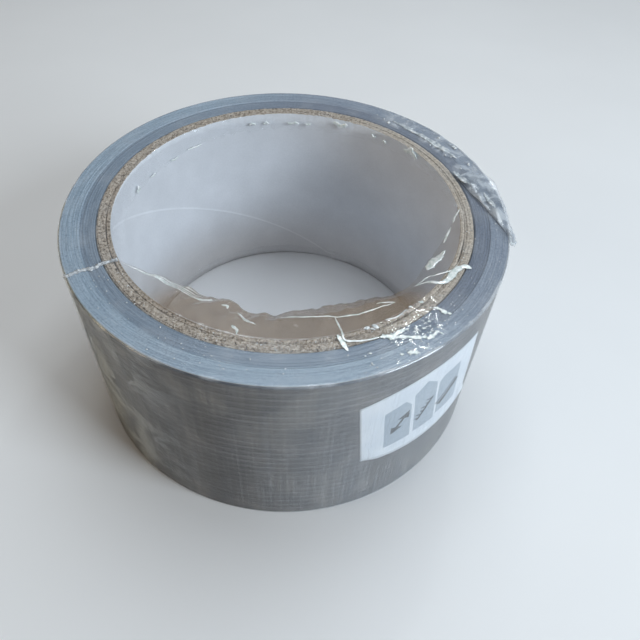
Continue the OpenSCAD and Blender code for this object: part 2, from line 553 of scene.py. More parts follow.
def build_ply(number, board):
    """One board ply, cut roughly at its ends. Ply 1 has parted from ply 2 along a wavy split."""
    node = PLY_NODES[number - 1]
    inner, outer = PLY_R[number - 1] + 0.01, PLY_R[number] - 0.01
    low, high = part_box(node)[0].z / MM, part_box(node)[1].z / MM
    angles = full_turn(900)
    rough = waves(20, 60, 260, 1.6)
    split = 0.13 + 0.11 * waves(31, 14, 30, 1.0)(angles, 0)
    split_deep = 1.2
    lifted = 0.112 if number == 1 else 0
    inner_edge = inner + (split if number == 2 else 0)
    outer_edge = outer - (split if number == 1 else 0)
    # the outermost ply and the tape part a little, too
    if number == 5:
        outer_edge = outer - 0.3 - 0.06 * waves(33, 10, 20, 1.0)(angles, 0)
    outline = [(inner, low + split_deep), (inner, high - split_deep)]
    for t in np.linspace(0, 1, 7):
        radius = inner_edge + t * (outer_edge - inner_edge)
        rounded = 0.015 * (2 * t - 1) ** 4
        outline.append((radius, high - rounded + 0.05 * rough(angles, radius) + lifted * (1 - t)))
    outline += [(outer, high - split_deep), (outer, low + split_deep)]
    for t in np.linspace(1, 0, 7):
        radius = inner_edge + t * (outer_edge - inner_edge)
        height = low + 0.06 * (2 * t - 1) ** 4 - 0.05 * np.abs(rough(angles + 90, radius))
        outline.append((radius, np.maximum(height, LOW)))
    grid = outline_grid(outline, angles)
    return sweep_piece(f"core_board_ply_{number}", grid, True, [board], [node])


# ------------------------------------------------------------ tape
def turn_heights(radius, angles, seed):
    """How far the edges of the turns stand out of the roll's end at a radius."""
    low_band = -0.10 * (1 - smooth_step(CORE_R + INNER_BAND - 0.1, CORE_R + INNER_BAND + 0.1, radius))
    draw = np.random.default_rng(seed + int(radius * 10))
    wander = draw.uniform(-0.03, 0.02)
    lean = 0.02 * math.sin(radius * 1.7) * np.cos(np.radians(angles - 40 * radius))
    return low_band + wander + lean


def build_winding(edge, backing):
    """All the turns under the last one. Each step at the ends stands for one or two of them."""
    angles = full_turn(600)
    turn_step = 0.15
    radii = np.arange(CORE_R + 0.02, WINDING_R - 0.04, turn_step)
    outline = []
    for radius in radii:
        height = HIGH + np.minimum(turn_heights(radius, angles, 5), 0)
        outline += [(radius, height), (radius + 0.7 * turn_step, height)]
    wall_rows = 12
    for k in range(wall_rows + 1):
        outline.append((WINDING_R, HIGH - 0.08 - k / wall_rows * (TAPE_W - 0.16)))
    for radius in radii[::-3]:
        outline.append((radius, LOW - np.minimum(turn_heights(radius, angles, 6), 0)))
    grid = outline_grid(outline, angles)
    ends = 2 * len(radii)
    slots = [0] * ends + [1] * wall_rows + [0] * (len(outline) - ends - wall_rows)
    return sweep_piece("tape_turns", grid, True, [edge, backing], ["tape_winding"], slots)


def rib(height):
    """How far a warp yarn lifts the backing at a height."""
    return 0.012 * np.cos(2 * math.pi * (height - LOW) / RIB_PITCH)


def build_strip(name, node, inner, outer, material, ribbed=False):
    """A layer of the last turn, cut at its free end and running in under it at the other."""
    angles = FREE_END_AT + np.linspace(0, LAST_TURN_SWEEP, 560)
    run = (angles - FREE_END_AT) / LAST_TURN_SWEEP
    sink = (STRIP_T - 0.01) * smooth_step(0.7, 1.0, run)
    wander = waves(41, 8, 5, 20)
    edge_round = 0.5
    outline = []
    for height in np.linspace(LOW + 0.03, HIGH - 0.03, 150 if ribbed else 12):
        radius = outer - sink
        if ribbed:
            radius = radius - 0.012 + rib(height) + 0.012 * wander(angles, height)
        to_end = min(height - LOW, HIGH - height)
        outline.append((radius - 0.1 * max(0, 1 - to_end / edge_round) ** 2, height))
    outline += [(inner - sink - 0.1, height) for height in (HIGH - 0.03, LOW + 0.03)]
    # the knife left the free end a little out of square
    grid = []
    for radius, height in outline:
        lean = 0.12 * math.sin(0.31 * (height - LOW))
        grid.append(polar(radius, angles + lean * (1 - smooth_step(0, 0.02, run)), height))
    return sweep_piece(name, np.stack(grid, 1), False, [material], [node])


def build_last_turn(backing):
    """The last turn's three layers, from the inside out: gum, cotton scrim and the silver-grey backing."""
    first, second = WINDING_R + STRIP_T / 3, TAPE_R - STRIP_T / 3
    gum = plain_finish("tape_gum", 0.5, 2, srgb(150, 148, 138), srgb(176, 174, 164), 0.02)
    scrim = plain_finish("tape_scrim", 0.85, 0.3, srgb(196, 195, 190), srgb(226, 225, 221), 0.03)
    build_strip("tape_last_adhesive", "last_turn_adhesive", WINDING_R, first, gum)
    build_strip("tape_last_scrim", "last_turn_scrim", first, second, scrim)
    build_strip("tape_last_backing", "last_turn_backing", second, TAPE_R, backing, True)


# ------------------------------------------------------------ label
LABEL_LOW, LABEL_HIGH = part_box("length_label")[0].z / MM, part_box("length_label")[1].z / MM
LABEL_AT = -54.5
LABEL_SWEEP = 37.1
LABEL_TALLEST_AT = -51


def on_label(along, up, lift):
    """A point of the label: along and up go from 0 to 1 over it, and lift is mm above its face.

    The label is cut a little out of square and widest past its middle, and its lower edge stands off.
    """
    along, up = np.broadcast_arrays(np.asarray(along, float), np.asarray(up, float))
    angle = LABEL_AT + (along - 0.5) * LABEL_SWEEP + (0.5 - up) * (2.4 + 2 * along)
    left = np.maximum(LABEL_TALLEST_AT - angle, 0) / 22
    right = np.maximum(angle - LABEL_TALLEST_AT, 0) / 15
    low = LABEL_LOW - 0.8 + 1.7 * left**2 + 0.5 * right**2
    high = LABEL_HIGH + 0.4 - 2.9 * left**2 - 1.1 * right**2
    loose = 0.3 * (1 - smooth_step(0, 0.14, up)) * window(along, 0.12, 1, 0.1)
    return polar(TAPE_R + 0.07 + lift + loose, angle, low + up * (high - low))


def patch(name, corners, lift, thickness, material, cut=24):
    """A thin flat shape on the label, from its corners, whose sides follow the label's curve."""
    corners = np.asarray(corners, float)
    outline = []
    for a, b in zip(corners, np.roll(corners, -1, 0)):
        outline += [a + (b - a) * k / cut for k in range(cut)]
    outline = np.array(outline)
    middle = outline.mean(0)
    rings = [middle + (outline - middle) * share for share in (1.0, 0.66, 0.33)]
    count = len(outline)
    upper = [on_label(*ring.T, lift + thickness) for ring in rings]
    tip = on_label(*middle, lift + thickness)[None]
    back = on_label(*middle, lift)[None]
    points = np.concatenate([on_label(*outline.T, lift), *upper, tip, back])
    faces = grid_faces(4, count, close_columns=True)
    faces += fan_faces(3 * count, count, 4 * count)
    faces += fan_faces(0, count, 4 * count + 1)
    return make_piece(name, points, faces, (), [material], smooth=False)


def build_label(paper, panel_ink, mark_ink):
    """The label, with three printed panels and plain signs on them."""
    across, up = 60, 24
    grid = []
    for k in range(across + 1):
        face = [on_label(k / across, j / up, 0.02) for j in range(up + 1)]
        back = [on_label(k / across, 1 - j / up, -0.05) for j in range(up + 1)]
        grid.append(np.stack(face + back))
    sweep_piece("label", np.stack(grid), False, [paper], ["length_label"])
    panels = [
        [(0.168, 0.133), (0.375, 0.155), (0.367, 0.677), (0.319, 0.766), (0.167, 0.72)],
        [(0.405, 0.175), (0.596, 0.156), (0.577, 0.773), (0.486, 0.885), (0.387, 0.783)],
        [(0.614, 0.205), (0.836, 0.177), (0.817, 0.79), (0.657, 0.785), (0.6, 0.734)],
    ]
    for number, corners in enumerate(panels, 1):
        patch(f"label_panel_{number}", corners, 0.022, 0.012, panel_ink)
    build_marks(mark_ink)


# Printed signs lie on the panels: how far above the label's face, and how thick
MARK_LIFT = 0.036
MARK_T = 0.006


def directions(start, end):
    """Unit steps ahead and aside on the label, for something that runs from start to end."""
    ahead = (end - start) / np.linalg.norm(end - start)
    return ahead, np.array([-ahead[1], ahead[0]])


def stroke(name, start, end, width, material):
    """A straight printed stroke between two places on the label, as wide as given."""
    start, end = np.array(start), np.array(end)
    aside = directions(start, end)[1] * width / 2
    corners = [start - aside, end - aside, end + aside, start + aside]
    patch(name, corners, MARK_LIFT, MARK_T, material, cut=4)


def build_marks(ink):
    """Plain signs: a two-way arrow, a stub of ruler and a strip."""
    tail, head = np.array((0.215, 0.33)), np.array((0.355, 0.60))
    ahead, aside = directions(tail, head)
    stroke("label_arrow_shaft", tail + 0.04 * ahead, head - 0.04 * ahead, 0.022, ink)
    for name, tip, way in (("label_arrow_low", tail, 1), ("label_arrow_high", head, -1)):
        wide = tip + way * 0.1 * ahead
        patch(name, [tip, wide + 0.05 * aside, wide - 0.05 * aside], MARK_LIFT, MARK_T, ink, cut=4)
    foot, top = np.array((0.43, 0.34)), np.array((0.555, 0.58))
    _, aside = directions(foot, top)
    stroke("label_ruler", foot, top, 0.024, ink)
    for k in range(6):
        start = foot + (top - foot) * (k + 0.5) / 6
        length = 0.055 if k % 2 else 0.036
        stroke(f"label_ruler_tick_{k + 1}", start, start + length * aside, 0.015, ink)
    stroke("label_strip_edge", (0.60, 0.385), (0.79, 0.575), 0.02, ink)
    stroke("label_strip_body", (0.63, 0.34), (0.82, 0.53), 0.052, ink)


# ------------------------------------------------------------ film
FILM_T = 0.04
RIM_BEND = 0.6

# The inner edge of the film over the mouth of the bore: angle, radius and height.
# In front the film stands out over the mouth as a lip; behind, it clings to the bore's wall.
FRONT_LIP = [
    (-152.3, 38.0, 49.9), (-145, 34.8, 49.3), (-138, 32.2, 48.7), (-131, 30.4, 47.8), (-125, 29.6, 47.0),
    (-120, 28.8, 46.8), (-115, 28.1, 46.8), (-110, 28.7, 47.1), (-105, 30.1, 47.4), (-100, 30.3, 47.2),
    (-94, 29.2, 46.8), (-86, 28.4, 46.8), (-77, 28.3, 46.9), (-69, 28.6, 47.0), (-62, 29.5, 47.1),
    (-55, 30.7, 47.2), (-49, 32.6, 47.6), (-43, 33.2, 47.8), (-34, 33.1, 47.9), (-27, 33.2, 48.0),
    (-20, 34.0, 48.2), (-14, 35.1, 48.6), (-8, 36.3, 49.2), (-2.5, 37.6, 49.8), (0, 38.0, 49.9),
]
BACK_LIP = [
    (0, 38.0, 49.9), (8, 37.5, 48.6), (20, 37.5, 48.0), (33, 37.6, 47.4), (48, 37.6, 47.0), (60, 37.5, 46.4),
    (82, 37.5, 46.0), (104, 37.6, 46.0), (125, 37.5, 45.8), (140, 37.4, 45.0), (152, 37.3, 44.6),
    (162, 37.2, 44.8), (172, 36.8, 45.2), (180, 36.5, 45.8), (188, 36.1, 46.5), (196, 36.2, 47.4),
    (203, 37.2, 48.8), (207.7, 38.0, 49.9),
]


def lip_edge(control, angle):
    path = spline(control, 16)
    return np.interp(angle, path[:, 0], path[:, 1]), np.interp(angle, path[:, 0], path[:, 2])


soft_waves = waves(51, 40, 50, 5)
crisp_waves = waves(52, 60, 150, 1.8)
lip_waves = waves(53, 40, 60, 9)
lip_crimps = waves(54, 30, 120, 30)
seam_waves = waves(55, 50, 70, 3.4)
wall_waves = waves(56, 30, 26, 16)


def face_height(angle, radius):
    """The height of the film's upper side over the end of the roll."""
    angle, radius = np.broadcast_arrays(np.asarray(angle, float), np.asarray(radius, float))
    turn = (angle + 180) % 360 - 180
    height = FILM_TOP - 0.02 + 0.02 * soft_waves(angle, radius)
    crumpled = window(turn, -68, -48, 10) + 0.25 * window(turn, -40, -5, 10)
    height = height + 0.016 * crumpled * (0.4 + crisp_waves(angle, radius))
    # the film is gathered near the right-hand seam, behind it most
    gather = window(turn, 2, 36, 14) * smooth_step(41, 44.5, radius)
    height = height + gather * (0.14 + 0.14 * seam_waves(angle, radius))
    return np.maximum(height, HIGH + FILM_T + 0.02)


def front_lip_point(angle, t):
    """The film's upper side over the mouth: t is 0 at the core and 1 at the film's edge."""
    edge_r, edge_z = lip_edge(FRONT_LIP, angle)
    start = face_height(angle, BORE_R)
    radius = BORE_R + t * (edge_r - BORE_R)
    # a sharp bend runs along the lip, and beyond it the film hangs more steeply
    bend_at = 0.62
    gentle = 0.3 * t / bend_at
    steep = 0.3 + 0.7 * (t - bend_at) / (1 - bend_at)
    bent = np.where(t < bend_at, gentle, steep)
    plain = t**1.4
    creased = window(angle, -94, -52, 8)
    fall = creased * bent + (1 - creased) * plain
    height = start + fall * (edge_z - start)
    reach_in = smooth_step(0, 4, BORE_R - edge_r)
    waved = t**1.5 * (0.35 * lip_waves(angle, radius) + 0.12 * lip_crimps(angle, radius))
    crisp = smooth_step(0, 0.3, t) * 0.05 * crisp_waves(angle, radius)
    return radius, height + reach_in * (waved + crisp)


def back_lip_point(angle, t):
    """The same behind, where the film turns down into the bore and clings to its wall."""
    edge_r, edge_z = lip_edge(BACK_LIP, angle)
    start = face_height(angle, BORE_R)
    edge_z = edge_z + 0.35 * lip_crimps(angle, 0)
    turned = np.sin(np.clip(t / 0.22, 0, 1) * math.pi / 2)
    lift = 0.25 * window(t, 0.1, 1.0, 0.1) * (0.5 + 0.5 * lip_waves(angle, 8 * t))
    radius = BORE_R + 0.1 - turned * 0.3 - np.maximum(lift, 0)
    radius = radius + smooth_step(0.2, 1, t) * (edge_r - BORE_R + 0.2)
    height = start + t**1.15 * (edge_z - start)
    pucker = 0.3 * np.maximum(seam_waves(angle, 2 * t), 0) * window(t, 0.05, 0.3, 0.12)
    return radius - pucker, height - 0.3 * pucker


def wall_radius(angle, height):
    """The film's outer side on the roll's wall."""
    ripple = 0.03 * wall_waves(angle, height) + 0.008 * crisp_waves(angle, height)
    # the film is held off by the label's loose lower edge
    turn = (np.asarray(angle, float) + 180) % 360 - 180
    tent = 0.32 * window(turn, -66, -38, 5) * window(height, LABEL_LOW - 1.2, LABEL_LOW + 1, 2)
    return FILM_R + 0.01 + np.maximum(ripple, -0.02) + tent


def film_section(angle, lip_point, lip_rows):
    """The film's outer side at each angle: up the bore, out, up the wall, in, and over the mouth."""
    one = np.ones_like(angle)
    path = []
    for t in np.linspace(0, 1, 5):
        edge_wave = 0.2 * soft_waves(angle, 3) * (1 - t)
        path.append(((BORE_R - 0.02 - 0.02 * t) * one, 3.2 - 2.8 * t + edge_wave))
    for t in np.linspace(0, 1, 9):
        path.append(((BORE_R + 0.15 + t * (FILM_R - BORE_R - 0.15 - RIM_BEND)) * one, 0.02 * one))
    for turn in np.linspace(0, 90, 7)[1:]:
        bend = math.radians(turn)
        lowest = wall_radius(angle, 0.0) - RIM_BEND
        path.append((lowest + RIM_BEND * math.sin(bend), 0.02 + RIM_BEND * (1 - math.cos(bend)) * one))
    corner = face_height(angle, FILM_R - RIM_BEND)
    foot = 0.02 + RIM_BEND
    wall_rows = 22
    for k in range(1, wall_rows):
        height = foot + (corner - RIM_BEND - foot) * k / wall_rows
        path.append((wall_radius(angle, height), height))
    for turn in np.linspace(0, 90, 9):
        bend = math.radians(turn)
        shoulder = wall_radius(angle, corner - RIM_BEND) - RIM_BEND
        path.append((shoulder + RIM_BEND * math.cos(bend), corner - RIM_BEND + RIM_BEND * math.sin(bend)))
    outer = FILM_R - RIM_BEND
    for k in range(1, 30):
        radius = outer - (outer - BORE_R) * k / 30
        path.append((radius * one, face_height(angle, radius)))
    first_lip_row = len(path)
    for t in np.linspace(0, 1, lip_rows):
        path.append(lip_point(angle, t))
    return np.stack([np.stack(pair, -1) for pair in path], 1), first_lip_row


def build_film(name, node, start, end, step, lip_point, lip_rows, materials):
    """One panel of the shrink film, a thin closed sheet."""
    angle = np.linspace(start, end, int(abs(end - start) / step))
    outer, first_lip_row = film_section(angle, lip_point, lip_rows)
    along = np.gradient(outer, axis=1)
    normal = np.stack([along[..., 1], -along[..., 0]], -1)
    normal /= np.linalg.norm(normal, axis=-1, keepdims=True)
    inner = outer - FILM_T * normal
    outline = np.concatenate([outer, inner[:, ::-1]], 1)
    grid = polar(outline[..., 0], angle[:, None], outline[..., 1])
    rows = outer.shape[1]
    on_lip = [int(first_lip_row <= k < rows) for k in range(rows)]
    slots = on_lip[:-1] + [1] + on_lip[::-1][:-1] + [0]
    return sweep_piece(name, grid, False, materials, [node], slots)


def on_film(angle, radius):
    """A point of the film's upper side over the roll's end or over the mouth."""
    angle, radius = np.broadcast_arrays(np.asarray(angle, float), np.asarray(radius, float))
    edge_r, _ = lip_edge(FRONT_LIP, angle)
    t = np.clip((BORE_R - radius) / np.maximum(BORE_R - edge_r, 0.01), 0, 1.1)
    height = np.where(radius < BORE_R, front_lip_point(angle, t)[1], face_height(angle, radius))
    return polar(radius, angle, height)


# A fold across its line: shares of its width to either side, and of its thickness
CREASE_PROFILE = [(-0.5, 0.0), (-0.44, 0.55), (-0.2, 0.8), (0.2, 0.75), (0.4, 1.0), (0.5, 0.0), (0.0, -0.1)]


def build_crease(name, path, rise, material, ragged=0.25, lift=0.0):
    """A fold of film pressed flat: a narrow raised band along a path of (angle, radius, width) points.

    rise is how thick it is, and lift how far it lies above the film.
    """
    course = spline(path, 10)
    width = course[:, 2]
    middle = on_film(course[:, 0], course[:, 1])[:, :2]
    ahead = np.gradient(middle, axis=0)
    ahead /= np.linalg.norm(ahead, axis=1, keepdims=True)
    aside = np.column_stack([-ahead[:, 1], ahead[:, 0]])
    run = np.linspace(0, 1, len(course))
    taper = np.minimum(np.minimum(run, 1 - run) * 6, 1) ** 0.8
    wobble = 1 + ragged * waves(61, 16, 12, 1.0)(run * 360, 0)
    grid = []
    for across, up in CREASE_PROFILE:
        spot = middle + aside * (across * width * (0.15 + 0.85 * taper) * wobble)[:, None]
        angle = np.degrees(np.arctan2(spot[:, 1], spot[:, 0]))
        point = on_film(angle, np.hypot(spot[:, 0], spot[:, 1]))
        point[:, 2] += lift + up * 0.6 * rise * (0.3 + 0.7 * taper) * wobble
        grid.append(point)
    return sweep_piece(name, np.stack(grid, 1), False, [material])


def build_creases(material):
    """The folds that stand out most in the film over the mouth and beside it. Their near-white finish is
    partly folded film and partly painted highlight.
    """
    folds = {
        "lip": (0.10, [
            (-94, 30.4, 0.3), (-92, 31.7, 0.4), (-87, 32.0, 0.35), (-78, 32.7, 0.3), (-73, 33.7, 0.3),
            (-68, 34.2, 0.28), (-63, 34.5, 0.28), (-58, 34.9, 0.26), (-54, 35.3, 0.2),
        ]),
        "hook": (0.10, [(-54, 35.3, 0.2), (-56, 34.3, 0.4), (-59.5, 33.5, 0.3)]),
        "core": (0.14, [
            (-74.7, 33.4, 0.25), (-74.8, 35.0, 0.35), (-74.8, 37.4, 0.4), (-75.0, 39.7, 0.5),
            (-72.5, 40.5, 0.35), (-69.4, 41.0, 0.4), (-66.2, 41.2, 0.6),
        ]),
        "tick": (0.10, [(-76.4, 38.2, 0.7), (-75.9, 40.0, 0.95), (-75.3, 42.2, 0.9)]),
        "arc": (0.14, [(-107.6, 31.5, 0.3), (-105.6, 32.4, 0.5), (-103.3, 33.6, 0.6), (-100, 34.4, 0.4)]),
        "loop": (0.16, [(-114.5, 30.8, 0.4), (-112.6, 30.4, 0.55), (-111.8, 31.2, 0.4)]),
        "sliver": (0.10, [(-106.5, 36.2, 0.8), (-104.6, 36.9, 0.6), (-104.0, 38.2, 0.25)]),
        "right": (0.24, [
            (-43, 34.4, 0.35), (-40, 36.0, 0.6), (-38.6, 38.4, 0.8), (-36.4, 39.2, 1.3),
            (-33.4, 39.4, 1.5), (-30.8, 39.6, 1.3), (-28.2, 40.7, 1.6), (-28.0, 42.2, 1.8),
        ]),
        "right_thin": (0.12, [
            (-42, 34.6, 0.25), (-37.4, 35.3, 0.35), (-35.6, 36.6, 0.35),
            (-32, 38.7, 0.3), (-28.5, 39.3, 0.25),
        ]),
        "right_fold": (0.28, [(-33.6, 34.2, 1.0), (-30, 34.3, 2.1), (-26, 34.9, 2.0), (-22.6, 35.8, 0.6)]),
        "right_edge": (0.14, [(-17.5, 35.0, 0.4), (-13, 35.5, 0.55), (-9.2, 36.2, 0.35)]),
        "curl": (0.12, [(-7.5, 36.6, 0.3), (-4.5, 37.2, 0.45), (-1.5, 38.4, 0.3)]),
    }
    for name, (rise, path) in folds.items():
        build_crease(f"film_crease_{name}", path, rise, material)
    build_strands(material)
    knot = [(-124.6, 32.0, 0.4), (-121.4, 31.2, 0.5), (-119.5, 30.2, 0.45), (-120.4, 29.8, 0.3)]
    build_crease("film_crease_knot", knot, 0.16, material)


def build_strands(material):
    """Straight tight folds that run side by side from the left-hand seam to the lip."""
    # how much each starts later and further in than the first, in degrees and mm, and its width
    strands = ((0.0, 0.0, 0.17), (0.9, 0.55, 0.15), (1.8, 1.15, 0.18), (2.5, 1.9, 0.14))
    for number, (late, inward, width) in enumerate(strands, 1):
        start = polar(BORE_R - 0.2 - 0.5 * inward, -151 + late, 0)
        end = polar(31.6 - inward, -121.0 - late, 0)
        straight = [start + (end - start) * k / 5 for k in range(6)]
        path = [(math.degrees(math.atan2(y, x)), math.hypot(x, y), width) for x, y, _ in straight]
        build_crease(f"film_strand_{number}", path, 0.1, material, ragged=0.0)


def build_puckers(material):
    """The tight crumples on the right of the front, between the core and the rim; their near-white finish is
    a painted highlight, the glints on them.
    """
    puckers = [
        [(-66.2, 41.3, 0.5), (-64.6, 41.5, 1.1), (-63.2, 42.2, 1.4), (-62.2, 42.9, 0.6)],
        [(-63.6, 42.6, 0.9), (-62.2, 42.0, 1.2), (-60.2, 41.8, 0.8), (-57.8, 42.1, 0.35)],
        [(-62.2, 42.6, 0.9), (-60.0, 43.4, 0.7), (-58.0, 44.6, 0.8), (-56.0, 45.4, 1.1)],
        [(-56.4, 45.8, 1.0), (-54.2, 45.8, 0.8), (-52.9, 45.6, 0.45), (-52.4, 46.6, 0.4)],
        [(-56.8, 42.5, 0.4), (-56.2, 43.4, 0.5)],
        [(-55.3, 43.4, 0.35), (-54.3, 43.8, 0.5)],
        [(-52.5, 42.8, 0.35), (-51.8, 43.2, 0.35)],
        [(-47.7, 41.2, 0.55), (-46.9, 42.2, 0.6), (-46.8, 43.3, 0.9), (-46.0, 44.6, 0.7)],
        [(-64.4, 46.2, 0.45), (-63.6, 46.4, 0.5)],
        [(-62.7, 46.4, 0.6), (-61.2, 47.0, 1.0), (-60.3, 47.5, 0.45)],
        [(-58.6, 47.3, 0.4), (-57.8, 47.3, 0.45)],
        [(-70.8, 43.8, 0.3), (-70.2, 44.1, 0.3)],
        [(-61.7, 38.2, 0.16), (-58.4, 38.7, 0.22), (-54.0, 38.3, 0.16)],
        [(-52.9, 38.0, 0.3), (-52.0, 38.5, 0.4)],
        [(-49.3, 38.3, 0.25), (-48.6, 38.9, 0.4), (-48.0, 38.5, 0.25)],
    ]
    for number, path in enumerate(puckers, 1):
        build_crease(f"film_pucker_{number}", path, 0.16, material, ragged=0.6)


def build_rim_puckers(material):
    """Small gathers behind, where the film turns down into the bore; their near-white finish is a painted
    highlight.
    """
    # angle, height, length and width
    gathers = [
        (104.6, 47.9, 1.4, 0.4), (99, 47.8, 1.1, 0.45), (88, 47.7, 2.4, 0.4), (82, 47.6, 1.1, 0.3),
        (68.5, 49.0, 3.0, 0.7), (54, 48.6, 1.0, 0.45), (48.8, 48.4, 0.9, 0.45), (35.5, 49.6, 3.6, 1.1),
        (162, 44.9, 1.2, 0.8), (152, 44.7, 1.4, 0.3), (140, 45.0, 1.8, 0.3), (130, 45.6, 3.2, 0.22),
    ]
    run = np.linspace(-1, 1, 24)
    taper = np.sqrt(np.maximum(1 - run**2, 0.01))
    spin = np.radians(full_turn(8))
    for number, (angle, height, length, width) in enumerate(gathers, 1):
        ragged = taper * (1 + 0.4 * waves(120 + number, 12, 9, 1.0)(run * 180, 0))
        along = angle + np.degrees(run * 0.7 * length / BORE_R)
        sway = 0.4 * width * np.sin(4 * run + number)
        radius = BORE_R - 0.75 + np.outer(0.2 * ragged, np.cos(spin))
        level = (height + sway)[:, None] + np.outer(0.8 * width * ragged, np.sin(spin))
        grid = polar(radius, along[:, None], level)
        sweep_piece(f"film_gather_{number}", grid, False, [material])


def build_left_seam(material):
    """The ragged sealed ridge over the roll's end on the left, and on down the wall."""
    corner = FILM_R - RIM_BEND
    # the ridge's foot: radius, height, how far the ridge leans out, and its share of the full height
    foot = []
    for radius in np.linspace(BORE_R + 0.2, corner, 60):
        foot.append((radius, float(face_height(SEAM_LEFT_AT, radius)), 0.0, 1.0))
    for turn in np.linspace(0, 90, 9)[1:]:
        bend = math.radians(turn)
        rim = FILM_TOP - RIM_BEND * (1 - math.cos(bend))
        foot.append((corner + RIM_BEND * math.sin(bend), rim, turn, 1.0))
    for height in np.linspace(FILM_TOP - RIM_BEND, LOW + 2.9, 130)[1:]:
        foot.append((FILM_R, height, 90.0, 0.4))
    radius, height, lean, share = np.array(foot).T
    run = np.linspace(0, 360, len(foot))
    tall = share * (0.28 + 0.2 * waves(71, 50, 60, 1.0)(run, 0))
    sway = 0.4 * waves(72, 10, 12, 1.0)(run, 0) + 0.05 * waves(73, 30, 70, 1.0)(run, 0)
    spread = 0.62 + 0.16 * waves(74, 30, 50, 1.0)(run, 0)
    lean = np.radians(lean)
    profile = [(-0.75, 0.0), (-0.45, 0.1), (-0.16, 0.3), (-0.1, 1.0)]
    profile += [(0.08, 0.95), (0.16, 0.34), (0.5, 0.12), (0.8, 0.0)]
    grid = []
    for across, up in profile:
        rise = up * np.maximum(tall, 0.1)
        angle = SEAM_LEFT_AT + np.degrees((across * spread + sway) / radius)
        grid.append(polar(radius + rise * np.sin(lean), angle, height + rise * np.cos(lean)))
    grid = np.stack(grid, 1)
    return sweep_piece("film_seam_left_ridge", grid, False, [material], ["film_seam_left"])


def build_right_seam(material, fold_shade_material):
    """The crumpled flap on the right: a fold across the roll's end, and a ragged ear past its rim."""
    along, across = 120, 34
    u = np.linspace(0, 1, along)
    fold = spline([(14.5, 40.9), (9.0, 41.6), (3.6, 42.8), (-4.5, 45.2), (-12.0, 48.2)], 40)
    pick = np.linspace(0, 1, len(fold))
    fold_at = np.interp(u, pick, fold[:, 0])
    fold_r = np.interp(u, pick, fold[:, 1])
    ragged = waves(81, 30, 26, 1.0)(u * 360, 0)
    teeth = np.maximum(waves(82, 40, 60, 1.0)(u * 360, 0), 0)
    ear = smooth_step(0.3, 0.6, u) * (0.55 + 0.45 * smooth_step(0.75, 0.95, u))
    edge_at = np.interp(u, [0, 0.5, 1], [17.0, 2.0, -15.5])
    edge_r = 46.5 + 2.4 * smooth_step(0.0, 0.25, u) + ear * (0.35 + 0.4 * ragged + 0.5 * teeth)
    lump = waves(83, 26, 30, 5.0)
    fine = waves(84, 50, 90, 2.0)
    upper, lower = [], []
    for k in range(across):
        v = k / (across - 1)
        angle = fold_at + v * (edge_at - fold_at)
        radius = fold_r + v * (edge_r - fold_r)
        swell = 0.35 * math.sin(math.pi * min(v * 1.15, 1.0)) * smooth_step(0, 0.3, u)
        rise = 0.34 * smooth_step(0, 0.08, v) + swell
        crumple = smooth_step(0.03, 0.2, v) * (0.34 * lump(angle, radius) + 0.06 * fine(angle, radius))
        drop = 0.7 * smooth_step(0.85, 1.0, v) * smooth_step(0.3, 0.6, u)
        base = face_height(angle, np.minimum(radius, FILM_R - RIM_BEND))
        height = base + 0.05 + rise + crumple - drop
        over_tape = radius < FILM_R + 0.1
        height = np.where(over_tape, np.maximum(height, base + 0.08), height)
        upper.append(polar(radius, angle, height))
        lower.append(polar(radius, angle, height - 0.07))
    grid = np.stack(upper + lower[::-1], 1)
    # painted shade: the row along the fold gets a dark finish, for the shade under the folded film
    slots = [0] * (2 * across)
    slots[0] = 1
    both = [material, fold_shade_material]
    return sweep_piece("film_seam_right_flap", grid, False, both, ["film_seam_right"], slots)


def build_ear_folds(material):
    """The folds on the flap, at the tip of its ear and behind it, finished near-white as a painted highlight
    for the light they catch.
    """
    folds = {
        "fold_1": (0.45, [(18.0, 41.2, 0.6), (13.5, 42.0, 1.5), (9.5, 43.0, 0.7)]),
        "fold_2": (0.55, [(5.0, 44.9, 0.5), (1.5, 45.6, 1.1), (-3.0, 46.6, 0.5)]),
        "tip": (-0.25, [(-10.0, 48.5, 0.8), (-13.0, 49.2, 1.7), (-15.0, 49.1, 0.9)]),
    }
    for name, (lift, path) in folds.items():
        build_crease(f"film_ear_{name}", path, 0.3, material, ragged=0.4, lift=lift)
    band = [(52.0, 44.6, 0.5), (42.0, 44.2, 1.3), (31.0, 44.6, 1.5), (24.0, 45.2, 0.6)]
    build_crease("film_ear_band", band, 0.25, material, ragged=0.6)


